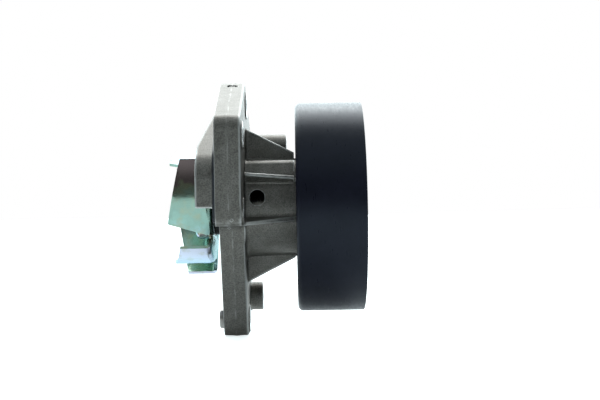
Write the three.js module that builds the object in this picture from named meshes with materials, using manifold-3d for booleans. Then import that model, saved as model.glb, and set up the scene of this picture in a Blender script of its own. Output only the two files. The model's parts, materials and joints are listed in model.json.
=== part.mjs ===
// Automotive coolant pump with a die-cast body, a pressed steel impeller and a drawn steel pulley.
// Millimetres. +X runs along the shaft from the engine to the pulley and +Z is up. The origin is where
// the shaft axis meets the machined engine face of the body's flange.
import * as THREE from "three";
import { mergeVertices } from "three/addons/utils/BufferGeometryUtils.js";
import Module from "manifold-3d";

const wasm = await Module();
wasm.setup();

// ---------------------------------------------------------------------------------------------
// Driving dimensions
// ---------------------------------------------------------------------------------------------

const turnSegments = 36; // facets round every piece turned about the shaft, so that fits stay parallel
const innerSegments = 24; // facets of the pieces inside the bearing and the face seal
const holeSegments = 20;
const vaneSteps = 8; // along the curve of an impeller vane

// Body: a flange that bolts to the engine, a nose that holds the bearing, ribs between them.
const flangeThick = 12;
const boltHoleR = 3.4;
const ears = {
  foot: { y: 5, z: -54.6, r: 8.4 },
  lower: { y: 28, z: -45.5, r: 10 },
  far: { y: 50, z: 31.8, r: 10 },
  top: { y: 5, z: 50.6, r: 10.9 },
  nearTop: { y: -39, z: 36, r: 7 },
  nearLow: { y: -43, z: -5, r: 3 },
};
const boltHoles = {
  nearTop: { y: -36.8, z: 33.4 },
  nearLow: { y: -38.8, z: -1.6 },
  top: ears.top,
  far: ears.far,
  lower: ears.lower,
  foot: ears.foot,
};
const bossR = 23.5; // the flange is only this wide about the shaft between the near ear and the leg
const earFillet = 4; // between the underside of the near ear and the leg
const seatPadR = 6.4;
const seatPadHigh = 0.7;
const farBoss = { r: 7.1, end: 31.5 };
const lowerBoss = { r: 7.2, end: 18.5 };
const noseRootR = 23.6;
const noseEndR = 22.3;
const noseEnd = 46;
const noseChamfer = 1;
const ribEnd = 35.6;
const ribs = [
  { angle: 90, atFlange: 38.9, atNose: 26.8, thick: 4 },
  { angle: 147, atFlange: 33, atNose: 25, thick: 3 },
  { angle: 193, atFlange: 33, atNose: 25, thick: 3 },
  { angle: 270, atFlange: 36.5, atNose: 24.6, thick: 4 },
  { angle: 347, atFlange: 33, atNose: 24, thick: 3 },
  { angle: 33, atFlange: 30, atNose: 26.4, thick: 3 },
];
const shoulder = [[0, 15], [0, 22.8], [-12.6, 22.6], [-14.6, 21.4], [-17.8, 15]]; // [y, z] beside the top rib
const volute = { high: 9.3, innerR: 36.5, nearY: -42, lowZ: 0.4, kneeZ: 21, topZ: 46, farAngle: 6 };
const kneeR = 15; // of the rounded knee between the wall's near side and its slanted top
const ramp = { lowZ: 29, run: 26.3 }; // the volute wall slopes down to the flange towards its top
const step = { high: 1.2, innerR: 35, nearY: -44.8, lowZ: -6, kneeZ: 22.6, outerR: 47, cornerR: 2 };
const weep = { x: 18.1, z: 4.9, r: 3.7, long: 16 };
const weepGroove = { from: 14.5, to: 21.3, r: 17.2 };
const boreR = 15.1;
const sealSeatX = 3;
const sealSeatR = 18;
const sealRecess = { r: 20, deep: 1.5 };

const dowel = { r: 4.75, boreR: 3.5, out: 2.4, deep: 6, gap: 0.1 };

// Rotor.
const shaftR = 8;
const shaftFrom = -10.9;
const shaftTo = 66.8;
const pressGap = 0.06; // radial gap between pieces that are pressed together
const faceGap = 0.1; // between pieces that meet face to face
const past = 1; // how far a cut runs past the metal it goes through
const edgeChamfer = 0.8; // on the turned steel pieces
const rimR = 50.6;
const pulley = {
  from: 36.4,
  to: 68.3,
  sheet: 2.6,
  hatR: 24.4,
  hatEnd: 53.5,
  hubHoleR: 11.3,
  cornerR: 2.6,
  innerCornerR: 1.8,
  windows: 6,
  windowR: 7,
  windowRing: 37.5,
};
const pulleyHub = { spigotR: 11, flangeR: 15, bossR: 12.5, flangeEnd: 59, end: 66 };

const impeller = {
  vaneAngles: [0, 72, 144, 212, 281], // uneven, which keeps a pump quiet
  sheet: 1.5,
  front: -3.3,
  outerR: 33,
  apothem: 23.3,
  bulge: 4.2,
  rootInner: -11.8,
  edgeInner: -6.7,
  outerX: -17.9,
  innerX: -23.7,
  hatR: 14.8,
  hatEnd: -12.6,
  shaftHoleR: 8.6,
  balanceR: 2,
  balanceRing: 18.2,
  balanceAfter: 29, // degrees from each vane's own angle to its balance hole
};

// Bearing: one row of balls at the engine end and one row of rollers at the pulley end.
const bearing = { from: 21.5, to: 51.5, outR: 15, inR: 12.2, chamfer: 0.6 };
const bearingShield = { thick: 1.5, in: 0.4, gap: 0.15 };
const ballRow = { x: 29.5, pitchR: 10.4, r: 3, count: 8, groove: 0.14, cageIn: 9.4, cageOut: 11.4, half: 4.4 };
const rollerRow = { x: 43.4, pitchR: 10.1, r: 2, count: 10, long: 9, cageIn: 9.2, cageOut: 11, half: 5.7 };
const cageGap = 0.2;
const pocketDeep = { ball: 6, roller: 4 };

// Face seal.
const cup = { from: 1.9, sheet: 0.8, outR: 14.9, lipR: 17.6, end: 13.5, holeR: 9.6 };
const carbon = { from: 0.5, to: 4.6, step: 2, inR: 9.2, noseR: 11.2, outR: 12.6 };
const bellows = {
  from: 5.3,
  to: 12.5,
  inR: 9.2,
  neckR: 10.1,
  gripR: 11.4,
  footR: 13.8,
  collar: 1.2,
  foldR: 1.4,
  foldOn: 0.4, // the fold sits this far behind the middle
};
const spring = { from: 5.5, to: 11, coilR: 12.5, wireR: 0.6, turns: 2.5 };
const mating = { from: -2.2, to: 0.4, inR: 8.7, outR: 12, bootR: 12.8, bootFrom: -3.1, bootLip: -0.8 };

const finish = {
  casting: { color: 0x77736e, roughness: 0.55, metalness: 0.6 },
  steel: { color: 0x8a8884, roughness: 0.35, metalness: 1 },
  plated: { color: 0x7fa596, roughness: 0.3, metalness: 1 },
  black: { color: 0x14141a, roughness: 0.35, metalness: 0.1 },
  rubber: { color: 0x1b1b1b, roughness: 0.8, metalness: 0 },
  carbon: { color: 0x2b2b2d, roughness: 0.5, metalness: 0 },
  ceramic: { color: 0xd9d4c8, roughness: 0.3, metalness: 0 },
  brass: { color: 0xb58f4c, roughness: 0.35, metalness: 1 },
  cage: { color: 0x3b4a3a, roughness: 0.5, metalness: 0 },
};

// ---------------------------------------------------------------------------------------------
// Solids
// ---------------------------------------------------------------------------------------------

const rad = THREE.MathUtils.degToRad;

// The closed solid of a three.js geometry.
function solidOf(geometry) {
  const bare = geometry.clone();
  bare.deleteAttribute("normal");
  bare.deleteAttribute("uv");
  const merged = mergeVertices(bare, 1e-4);
  const mesh = new wasm.Mesh({
    numProp: 3,
    vertProperties: new Float32Array(merged.attributes.position.array),
    triVerts: new Uint32Array(merged.index.array),
  });
  return new wasm.Manifold(mesh);
}

// The three.js geometry of a closed solid.
function geometryOf(solid) {
  const { vertProperties, triVerts } = solid.getMesh();
  const geometry = new THREE.BufferGeometry();
  geometry.setAttribute("position", new THREE.BufferAttribute(vertProperties, 3));
  geometry.setIndex(new THREE.BufferAttribute(triVerts, 1));
  geometry.computeVertexNormals();
  return geometry;
}

// A profile of [x, radius] points turned about the shaft axis.
function turned(profile, segments = turnSegments) {
  const points = profile.map(([x, r]) => new THREE.Vector2(r, x));
  if (THREE.ShapeUtils.area(points) < 0) points.reverse();
  const onAxis = points[0].x === 0 && points[points.length - 1].x === 0;
  if (!onAxis) points.push(points[0].clone());
  return solidOf(new THREE.LatheGeometry(points, segments).rotateZ(-Math.PI / 2));
}

// An outline in the Y-Z plane, given thickness along X.
function plate(shape, fromX, toX) {
  const geometry = new THREE.ExtrudeGeometry(shape, {
    depth: toX - fromX,
    bevelEnabled: false,
    curveSegments: 7,
  });
  const toYZ = new THREE.Matrix4().makeBasis(axisOf("y"), axisOf("z"), axisOf("x"));
  geometry.applyMatrix4(toYZ);
  geometry.translate(fromX, 0, 0);
  return solidOf(geometry);
}

// An outline of [x, height] points in the X-Z plane, centred on Y = 0.
function upright(points, thick) {
  const shape = new THREE.Shape(points.map(([x, z]) => new THREE.Vector2(x, z)));
  const geometry = new THREE.ExtrudeGeometry(shape, { depth: thick, bevelEnabled: false });
  const toXZ = new THREE.Matrix4().makeBasis(axisOf("x"), axisOf("z"), axisOf("y").negate());
  geometry.applyMatrix4(toXZ);
  geometry.translate(0, thick / 2, 0);
  return geometry;
}

function axisOf(name) {
  return new THREE.Vector3(name === "x" ? 1 : 0, name === "y" ? 1 : 0, name === "z" ? 1 : 0);
}

// A round bar along X.
function bar(place, r, fromX, toX, segments = holeSegments) {
  const geometry = new THREE.CylinderGeometry(r, r, toX - fromX, segments);
  geometry.rotateZ(-Math.PI / 2);
  geometry.translate((fromX + toX) / 2, place.y, place.z);
  return solidOf(geometry);
}

// Points of an arc in a profile, both ends included; angles in degrees from +X towards +radius.
function arc(x, r, radius, fromAngle, toAngle, steps) {
  return Array.from({ length: steps + 1 }, (_, i) => {
    const a = rad(fromAngle + ((toAngle - fromAngle) * i) / steps);
    return [x + radius * Math.cos(a), r + radius * Math.sin(a)];
  });
}

// The angle of the outward normal of the straight line that wraps two discs, going counter-clockwise.
function wrapAngle(a, b) {
  const along = Math.atan2(b.z - a.z, b.y - a.y);
  const lean = Math.asin((a.r - b.r) / Math.hypot(b.y - a.y, b.z - a.z));
  return along - Math.PI / 2 + lean;
}

// Adds the arcs and straight lines that wrap a row of discs counter-clockwise.
function wrapDiscs(shape, discs, startAngle, endAngle) {
  discs.forEach((disc, i) => {
    const from = i === 0 ? startAngle : wrapAngle(discs[i - 1], disc);
    const to = i === discs.length - 1 ? endAngle : wrapAngle(disc, discs[i + 1]);
    shape.absarc(disc.y, disc.z, disc.r, from, to, false);
  });
}

// A copy of a geometry turned about the shaft axis.
function turnedTo(geometry, degrees) {
  return geometry.clone().rotateX(rad(degrees));
}

// ---------------------------------------------------------------------------------------------
// Body
// ---------------------------------------------------------------------------------------------

// The rim of the flange. A straight leg runs from the boss round the shaft down to the foot.
function flangeOutline() {
  const order = ["foot", "lower", "far", "top", "nearTop", "nearLow"];
  const leg = wrapAngle({ y: 0, z: 0, r: bossR }, ears.foot);
  const shape = new THREE.Shape();
  wrapDiscs(shape, order.map((name) => ears[name]), leg, 1.5 * Math.PI);
  const z = ears.nearLow.z - ears.nearLow.r - earFillet;
  const y = (bossR + earFillet - z * Math.sin(leg)) / Math.cos(leg);
  shape.absarc(y, z, earFillet, Math.PI / 2, leg - Math.PI, true);
  shape.closePath();
  return shape;
}

// Adds the rounded corner between an upright near side and the slope from (nearY, kneeZ) to (0, topZ).
function addKnee(shape, nearY, kneeZ, topZ) {
  const slope = Math.atan((topZ - kneeZ) / -nearY);
  const turn = Math.PI / 2 - slope;
  const z = kneeZ - kneeR * Math.tan(turn / 2);
  shape.absarc(nearY + kneeR, z, kneeR, Math.PI, Math.PI / 2 + slope, true);
}

// The square shoulder of the nose on the near side of the top rib.
function noseShoulder() {
  const shape = new THREE.Shape(shoulder.map(([y, z]) => new THREE.Vector2(y, z)));
  return plate(shape, flangeThick / 2, ribEnd);
}

// The wall round the top of the impeller, which slopes down to the flange towards its top.
function voluteWall() {
  const v = volute;
  const far = rad(v.farAngle);
  const near = Math.PI - Math.asin(v.lowZ / v.innerR);
  const shape = new THREE.Shape();
  shape.moveTo(v.nearY, v.lowZ);
  addKnee(shape, v.nearY, v.kneeZ, v.topZ);
  shape.absarc(0, 0, v.topZ, Math.PI / 2, far, true);
  shape.absarc(0, 0, v.innerR, far, near, false);
  shape.closePath();
  const wall = plate(shape, -v.high, flangeThick / 2);
  const slope = ramp.run / v.high;
  const over = 3 * past;
  const above = upright(
    [
      [-v.high - over, ramp.lowZ - slope * over],
      [0, ramp.lowZ + ramp.run],
      [0, ramp.lowZ + ramp.run + over],
      [-v.high - over, ramp.lowZ + ramp.run + over],
    ],
    4 * v.topZ,
  );
  return wall.subtract(solidOf(above));
}

// A low step round the root of the wall, which reaches lower than the wall on the near side.
function wallStep() {
  const s = step;
  const far = rad(volute.farAngle);
  const near = Math.PI + Math.asin(-s.lowZ / s.innerR);
  const shape = new THREE.Shape();
  shape.moveTo(-s.innerR, s.lowZ);
  shape.absarc(s.nearY + s.cornerR, s.lowZ + s.cornerR, s.cornerR, 1.5 * Math.PI, Math.PI, true);
  addKnee(shape, s.nearY, s.kneeZ, s.outerR);
  shape.absarc(0, 0, s.outerR, Math.PI / 2, far, true);
  shape.absarc(0, 0, s.innerR, far, near, false);
  shape.closePath();
  return plate(shape, -s.high, flangeThick / 2);
}

function rib({ angle, atFlange, atNose, thick }) {
  const rootR = boreR + 2 * past;
  const geometry = upright(
    [
      [flangeThick / 2, rootR],
      [ribEnd, rootR],
      [ribEnd, atNose],
      [flangeThick, atFlange],
      [flangeThick / 2, atFlange],
    ],
    thick,
  );
  // Zero degrees points towards -Y and ninety points up.
  return solidOf(turnedTo(geometry, 90 - angle));
}

function bodyBores() {
  return turned([
    [-past, 0],
    [-past, sealRecess.r],
    [sealRecess.deep, sealRecess.r],
    [sealRecess.deep, sealSeatR],
    [sealSeatX, sealSeatR],
    [sealSeatX, boreR],
    [weepGroove.from, boreR],
    [weepGroove.from, weepGroove.r],
    [weepGroove.to, weepGroove.r],
    [weepGroove.to, boreR],
    [noseEnd + past, boreR],
    [noseEnd + past, 0],
  ]);
}

function weepHole() {
  const geometry = new THREE.CylinderGeometry(weep.r, weep.r, weep.long, holeSegments);
  return solidOf(geometry.translate(weep.x, -(boreR + weep.long / 2 - past / 2), weep.z));
}

function housing() {
  const nose = turned([
    [flangeThick / 2, 0],
    [flangeThick / 2, noseRootR],
    [flangeThick, noseRootR],
    [noseEnd - noseChamfer, noseEndR],
    [noseEnd, noseEndR - noseChamfer],
    [noseEnd, 0],
  ]);
  let solid = plate(flangeOutline(), 0, flangeThick).add(nose);
  solid = solid.add(voluteWall()).add(wallStep()).add(noseShoulder());
  for (const one of ribs) solid = solid.add(rib(one));
  solid = solid.add(bar(ears.far, farBoss.r, flangeThick / 2, farBoss.end));
  solid = solid.add(bar(ears.lower, lowerBoss.r, flangeThick / 2, lowerBoss.end));
  for (const name of ["nearTop", "nearLow", "top", "foot"]) {
    solid = solid.add(bar(boltHoles[name], seatPadR, flangeThick / 2, flangeThick + seatPadHigh));
  }
  for (const place of Object.values(boltHoles)) {
    solid = solid.subtract(bar(place, boltHoleR, -volute.high - past, farBoss.end + past));
  }
  for (const name of ["foot", "far"]) {
    solid = solid.subtract(bar(ears[name], dowel.r + dowel.gap, -past, dowel.deep + 2 * dowel.gap));
  }
  return solid.subtract(bodyBores()).subtract(weepHole());
}

function ringDowel(place) {
  const ring = bar(place, dowel.r, -dowel.out, dowel.deep);
  return ring.subtract(bar(place, dowel.boreR, -dowel.out - past, dowel.deep + past));
}

// ---------------------------------------------------------------------------------------------
// Rotor
// ---------------------------------------------------------------------------------------------

function shaft() {
  const reach = ballRow.r + ballRow.groove;
  const halfAngle = (Math.acos((ballRow.pitchR - shaftR) / reach) * 180) / Math.PI;
  const groove = arc(ballRow.x, ballRow.pitchR, reach, 270 - halfAngle, 270 + halfAngle, 4);
  return turned([
    [shaftFrom, 0],
    [shaftFrom, shaftR - edgeChamfer],
    [shaftFrom + edgeChamfer, shaftR],
    ...groove,
    [shaftTo - edgeChamfer, shaftR],
    [shaftTo, shaftR - edgeChamfer],
    [shaftTo, 0],
  ]);
}

// A cup drawn from sheet: its rim carries the belt, its web faces the body, and the middle of the web is
// drawn forwards into a hat that clears the end of the nose.
function pulleyShell() {
  const p = pulley;
  const inner = p.innerCornerR;
  const hatOutR = p.hatR + p.sheet;
  const webIn = p.from + p.sheet;
  let solid = turned([
    [p.hatEnd, p.hubHoleR],
    ...arc(p.hatEnd - inner, p.hatR - inner, inner, 0, 90, 2),
    ...arc(p.from + p.cornerR, p.hatR + p.cornerR, p.cornerR, 270, 180, 3),
    ...arc(p.from + p.cornerR, rimR - p.cornerR, p.cornerR, 180, 90, 3),
    [p.to, rimR],
    [p.to, rimR - p.sheet],
    ...arc(webIn + inner, rimR - p.sheet - inner, inner, 90, 180, 2),
    ...arc(webIn + inner, hatOutR + inner, inner, 180, 270, 2),
    ...arc(p.hatEnd + p.sheet - p.cornerR, hatOutR - p.cornerR, p.cornerR, 90, 0, 3),
    [p.hatEnd + p.sheet, p.hubHoleR],
  ]);
  for (let i = 0; i < p.windows; i++) {
    const a = ((i + 0.5) * 2 * Math.PI) / p.windows;
    const place = { y: p.windowRing * Math.cos(a), z: p.windowRing * Math.sin(a) };
    solid = solid.subtract(bar(place, p.windowR, p.from - past, webIn + past));
  }
  return solid;
}

function pulleyHubBody() {
  const h = pulleyHub;
  const boreIn = shaftR + pressGap;
  const spigotEnd = pulley.hatEnd + 3 * faceGap;
  const seat = pulley.hatEnd + pulley.sheet + faceGap;
  return turned([
    [spigotEnd, boreIn],
    [spigotEnd, h.spigotR],
    [seat, h.spigotR],
    [seat, h.flangeR],
    [h.flangeEnd, h.flangeR],
    [h.flangeEnd + edgeChamfer, h.bossR],
    [h.end - edgeChamfer, h.bossR],
    [h.end, h.bossR - edgeChamfer],
    [h.end, boreIn],
  ]);
}

// The middle line of a vane seen along the shaft: a shallow arc from its inner end to its tip. The point
// is given in the vane's own frame, t along the vane towards the tip and n outwards from the shaft.
function vaneLine(offset, innerT, steps) {
  const im = impeller;
  const tipT = Math.sqrt(im.outerR ** 2 - im.apothem ** 2);
  return Array.from({ length: steps + 1 }, (_, i) => {
    const t = innerT + ((tipT - innerT) * i) / steps;
    const across = (t - im.rootInner) / (tipT - im.rootInner);
    const bow = 4 * im.bulge * across * (1 - across);
    return new THREE.Vector2(t, im.apothem + bow + offset);
  });
}

// Turns a point of a vane's own frame into the Y-Z plane.
function vanePoint(point, index) {
  const a = rad(impeller.vaneAngles[index]);
  const y = -point.y * Math.cos(a) + point.x * Math.sin(a);
  const z = point.y * Math.sin(a) + point.x * Math.cos(a);
  return new THREE.Vector2(y, z);
}

// One vane, with a free edge that rises from tip to inner end and an inner end cut back at the free edge.
function vane(index) {
  const im = impeller;
  const inside = vaneLine(-im.sheet, im.rootInner, vaneSteps);
  const outside = vaneLine(0, im.rootInner, vaneSteps).reverse();
  const outline = [...inside, ...outside].map((p) => vanePoint(p, index));
  const blade = plate(new THREE.Shape(outline), im.innerX - 3 * past, im.front);
  const tipT = Math.sqrt(im.outerR ** 2 - im.apothem ** 2);
  const cut = 4;
  const freeSlope = (im.outerX - im.innerX) / (tipT - im.edgeInner);
  const trim = upright(
    [
      [im.innerX - freeSlope * cut, im.edgeInner - cut],
      [im.outerX + freeSlope * cut, tipT + cut],
      [im.innerX - 2 * cut, tipT + cut],
      [im.innerX - 2 * cut, im.edgeInner - cut],
    ],
    3 * im.outerR,
  );
  const discBack = im.front - im.sheet;
  const endSlope = (im.edgeInner - im.rootInner) / (im.innerX - discBack);
  const end = upright(
    [
      [discBack, im.rootInner],
      [im.innerX - 2 * cut, im.rootInner + endSlope * (im.innerX - 2 * cut - discBack)],
      [im.innerX - 2 * cut, im.rootInner - 3 * cut],
      [discBack, im.rootInner - 3 * cut],
    ],
    3 * im.outerR,
  );
  const about = -im.vaneAngles[index];
  return blade.subtract(solidOf(turnedTo(trim, about))).subtract(solidOf(turnedTo(end, about)));
}

// The flat of the impeller: one saw tooth for each vane, which is folded up along the tooth's long edge.
function impellerDisc() {
  const points = [];
  impeller.vaneAngles.forEach((_, i) => {
    for (const p of vaneLine(0, impeller.rootInner, vaneSteps)) points.push(vanePoint(p, i));
  });
  return plate(new THREE.Shape(points), impeller.front - impeller.sheet, impeller.front);
}

function impellerPressing() {
  const im = impeller;
  let solid = impellerDisc();
  im.vaneAngles.forEach((_, i) => {
    solid = solid.add(vane(i));
  });
  const round = 2;
  const hat = turned([
    [im.front, im.hatR + past],
    [im.front - im.sheet, im.hatR + past],
    ...arc(im.hatEnd + round, im.hatR - round, round, 90, 180, 2),
    [im.hatEnd, im.shaftHoleR],
    [im.hatEnd + im.sheet, im.shaftHoleR],
    [im.hatEnd + im.sheet, im.hatR - im.sheet],
    [im.front, im.hatR - im.sheet],
  ]);
  const hollow = bar({ y: 0, z: 0 }, im.hatR - im.sheet, im.front - 3 * past, im.front + past, turnSegments);
  solid = solid.subtract(hollow).add(hat);
  for (const vaneAngle of im.vaneAngles) {
    const a = rad(vaneAngle + im.balanceAfter);
    const place = { y: im.balanceRing * Math.cos(a), z: im.balanceRing * Math.sin(a) };
    solid = solid.subtract(bar(place, im.balanceR, im.front - 3 * past, im.front + past, innerSegments / 2));
  }
  return solid;
}

function impellerBush() {
  const im = impeller;
  const outR = im.hatR - im.sheet - faceGap;
  const boreIn = shaftR + pressGap;
  const from = im.hatEnd + im.sheet + faceGap;
  return turned([
    [from, boreIn],
    [from, outR],
    [im.front - faceGap, outR],
    [im.front - faceGap, boreIn],
  ]);
}

// ---------------------------------------------------------------------------------------------
// Bearing
// ---------------------------------------------------------------------------------------------

function outerRace() {
  const b = bearing;
  const reach = ballRow.r + ballRow.groove;
  const halfAngle = (Math.acos((b.inR - ballRow.pitchR) / reach) * 180) / Math.PI;
  const groove = arc(ballRow.x, ballRow.pitchR, reach, 90 + halfAngle, 90 - halfAngle, 4);
  return turned([
    [b.from, b.inR],
    ...groove,
    [b.to, b.inR],
    [b.to, b.outR - b.chamfer],
    [b.to - b.chamfer, b.outR],
    [b.from + b.chamfer, b.outR],
    [b.from, b.outR - b.chamfer],
  ]);
}

function bearingSeal(fromX) {
  const toX = fromX + bearingShield.thick;
  return turned([
    [fromX, shaftR + bearingShield.gap],
    [fromX, bearing.inR - bearingShield.gap],
    [toX, bearing.inR - bearingShield.gap],
    [toX, shaftR + bearingShield.gap],
  ], innerSegments);
}

function cageRing(row) {
  return turned([
    [row.x - row.half, row.cageIn],
    [row.x - row.half, row.cageOut],
    [row.x + row.half, row.cageOut],
    [row.x + row.half, row.cageIn],
  ], innerSegments);
}

function rowPlace(row, index) {
  const a = (index * 2 * Math.PI) / row.count;
  return { angle: a, y: row.pitchR * Math.cos(a), z: row.pitchR * Math.sin(a) };
}

function ballCage() {
  let ring = cageRing(ballRow);
  for (let i = 0; i < ballRow.count; i++) {
    const pocket = new THREE.CylinderGeometry(ballRow.r + cageGap, ballRow.r + cageGap, pocketDeep.ball, 14);
    pocket.translate(ballRow.x, ballRow.pitchR, 0);
    ring = ring.subtract(solidOf(pocket.rotateX(rowPlace(ballRow, i).angle)));
  }
  return ring;
}

function rollerCage() {
  let ring = cageRing(rollerRow);
  const wide = 2 * (rollerRow.r + cageGap);
  for (let i = 0; i < rollerRow.count; i++) {
    const pocket = new THREE.BoxGeometry(rollerRow.long + 2 * cageGap, pocketDeep.roller, wide);
    pocket.translate(rollerRow.x, rollerRow.pitchR, 0);
    ring = ring.subtract(solidOf(pocket.rotateX(rowPlace(rollerRow, i).angle)));
  }
  return ring;
}

// ---------------------------------------------------------------------------------------------
// Face seal
// ---------------------------------------------------------------------------------------------

function sealCup() {
  const c = cup;
  return turned([
    [c.from, c.outR - c.sheet],
    [c.end - c.sheet, c.outR - c.sheet],
    [c.end - c.sheet, c.holeR],
    [c.end, c.holeR],
    [c.end, c.outR],
    [c.from + c.sheet, c.outR],
    [c.from + c.sheet, c.lipR],
    [c.from, c.lipR],
  ], innerSegments);
}

function carbonRing() {
  const c = carbon;
  return turned([
    [c.from, c.inR],
    [c.from, c.noseR],
    [c.step, c.noseR],
    [c.step, c.outR],
    [c.to, c.outR],
    [c.to, c.inR],
  ], innerSegments);
}

// A rubber sleeve with one fold, gripped at its wide rear flange by the cup.
function sealBellows() {
  const b = bellows;
  const wall = b.neckR - b.inR;
  const foldX = (b.from + b.to) / 2 + b.foldOn;
  const fold = arc(foldX, b.neckR, b.foldR, 180, 0, 4);
  const innerFold = arc(foldX, b.inR + b.foldOn / 2, b.foldR - wall, 0, 180, 2);
  return turned([
    [b.from, b.inR],
    [b.from, b.gripR],
    [b.from + b.collar, b.gripR],
    [b.from + b.collar, b.neckR],
    ...fold,
    [b.to - b.collar, b.neckR],
    [b.to - b.collar, b.footR],
    [b.to, b.footR],
    [b.to, b.inR],
    ...innerFold,
  ], innerSegments);
}

class Helix extends THREE.Curve {
  getPoint(u, target = new THREE.Vector3()) {
    const a = 2 * Math.PI * spring.turns * u;
    const x = spring.from + spring.wireR + (spring.to - spring.from - 2 * spring.wireR) * u;
    return target.set(x, spring.coilR * Math.cos(a), spring.coilR * Math.sin(a));
  }
}

function sealSpring() {
  const section = new THREE.Shape();
  section.absarc(0, 0, spring.wireR, 0, 2 * Math.PI, false);
  const geometry = new THREE.ExtrudeGeometry(section, {
    steps: 60,
    curveSegments: 4,
    extrudePath: new Helix(),
    bevelEnabled: false,
  });
  return solidOf(geometry);
}

function matingRing() {
  const m = mating;
  return turned([
    [m.from, m.inR],
    [m.from, m.outR],
    [m.to, m.outR],
    [m.to, m.inR],
  ], innerSegments);
}

function matingBoot() {
  const m = mating;
  const back = m.from - faceGap;
  return turned([
    [m.bootFrom, shaftR + pressGap],
    [m.bootFrom, m.bootR],
    [m.bootLip, m.bootR],
    [m.bootLip, m.outR + faceGap],
    [back, m.outR + faceGap],
    [back, m.inR - faceGap],
    [m.to, m.inR - faceGap],
    [m.to, shaftR + pressGap],
  ]);
}

// ---------------------------------------------------------------------------------------------
// Assembly
// ---------------------------------------------------------------------------------------------

const pump = new THREE.Group();

function addPiece(name, geometry, look) {
  const mesh = new THREE.Mesh(geometry, new THREE.MeshStandardMaterial(finish[look]));
  mesh.name = name;
  pump.add(mesh);
  return mesh;
}

function addSolid(name, solid, look) {
  addPiece(name, geometryOf(solid), look);
}

addSolid("pump_housing", housing(), "casting");
addSolid("ring_dowel_foot", ringDowel(ears.foot), "steel");
addSolid("ring_dowel_far", ringDowel(ears.far), "steel");

addSolid("pump_shaft", shaft(), "steel");
addSolid("pulley", pulleyShell(), "black");
addSolid("pulley_hub", pulleyHubBody(), "black");
addSolid("impeller", impellerPressing(), "plated");
addSolid("impeller_bush", impellerBush(), "steel");

addSolid("bearing_outer_race", outerRace(), "steel");
addSolid("bearing_seal_rear", bearingSeal(bearing.from + bearingShield.in), "rubber");
addSolid("bearing_seal_front", bearingSeal(bearing.to - bearingShield.in - bearingShield.thick), "rubber");
addSolid("ball_cage", ballCage(), "cage");
addSolid("roller_cage", rollerCage(), "cage");

const ballGeometry = new THREE.IcosahedronGeometry(ballRow.r, 1);
for (let i = 0; i < ballRow.count; i++) {
  const place = rowPlace(ballRow, i);
  addPiece(`bearing_ball_${i + 1}`, ballGeometry, "steel").position.set(ballRow.x, place.y, place.z);
}

const rollerGeometry = new THREE.CylinderGeometry(rollerRow.r, rollerRow.r, rollerRow.long, 12);
rollerGeometry.rotateZ(-Math.PI / 2);
for (let i = 0; i < rollerRow.count; i++) {
  const place = rowPlace(rollerRow, i);
  addPiece(`bearing_roller_${i + 1}`, rollerGeometry, "steel").position.set(rollerRow.x, place.y, place.z);
}

addSolid("seal_cup", sealCup(), "brass");
addSolid("carbon_face_ring", carbonRing(), "carbon");
addSolid("seal_bellows", sealBellows(), "rubber");
addSolid("seal_spring", sealSpring(), "steel");
addSolid("mating_ring", matingRing(), "ceramic");
addSolid("mating_ring_boot", matingBoot(), "rubber");

export default pump;
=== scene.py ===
import json
import math

import bmesh
import bpy
from mathutils import Matrix, Vector

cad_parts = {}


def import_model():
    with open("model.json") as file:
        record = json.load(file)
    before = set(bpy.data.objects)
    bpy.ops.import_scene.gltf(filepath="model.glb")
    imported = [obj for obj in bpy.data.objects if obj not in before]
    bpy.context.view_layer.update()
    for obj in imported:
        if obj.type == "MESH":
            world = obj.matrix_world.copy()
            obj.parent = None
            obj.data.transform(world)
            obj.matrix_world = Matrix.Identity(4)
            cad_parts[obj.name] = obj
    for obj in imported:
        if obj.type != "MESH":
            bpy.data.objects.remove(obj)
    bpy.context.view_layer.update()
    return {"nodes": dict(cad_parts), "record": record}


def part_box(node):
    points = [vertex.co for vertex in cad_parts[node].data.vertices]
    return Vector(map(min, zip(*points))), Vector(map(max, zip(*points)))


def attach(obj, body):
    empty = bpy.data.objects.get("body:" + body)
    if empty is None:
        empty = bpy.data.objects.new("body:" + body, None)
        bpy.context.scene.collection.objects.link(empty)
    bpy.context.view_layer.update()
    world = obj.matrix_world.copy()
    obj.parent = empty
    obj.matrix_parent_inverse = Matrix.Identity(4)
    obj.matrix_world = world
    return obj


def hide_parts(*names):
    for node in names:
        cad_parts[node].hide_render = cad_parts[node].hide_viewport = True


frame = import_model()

MM = 0.001


def box_mm(node):
    """(lowest corner, highest corner) of a CAD node, in millimetres."""
    low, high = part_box(node)
    return low / MM, high / MM


# ------------------------------------------------------------------------------------------------
# Dimensions in millimetres, the same as the CAD model's
# ------------------------------------------------------------------------------------------------

FLANGE_THICK = 12.0
FACE_STOCK = 1.2  # metal that the milling of the engine face takes off
BOLT_HOLE_R = 3.4
EARS = {  # (y, z, radius) of the rounds of the flange's outline, counter-clockwise from the foot
    "foot": (5.0, -54.6, 8.4),
    "lower": (28.0, -45.5, 10.0),
    "far": (50.0, 31.8, 10.0),
    "top": (5.0, 50.6, 10.9),
    "near_top": (-39.0, 36.0, 7.0),
    "near_low": (-43.0, -5.0, 3.0),
}
BOLT_HOLES = {
    "near_top": (-36.8, 33.4),
    "near_low": (-38.8, -1.6),
    "top": EARS["top"][:2],
    "far": EARS["far"][:2],
    "lower": EARS["lower"][:2],
    "foot": EARS["foot"][:2],
}
BOSS_R = 23.5  # the flange is only this wide about the shaft between the near ear and the leg
EAR_FILLET = 4.0  # between the underside of the near ear and the leg
DRAFT = 0.14  # how far the rim leans in on either side of the parting line
FLASH = 0.16  # how proud the trimmed parting line stands
PAD_R, PAD_TOP = 6.4, FLANGE_THICK + 0.7
FAR_BOSS_R, FAR_BOSS_END = 7.1, 31.5
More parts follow.
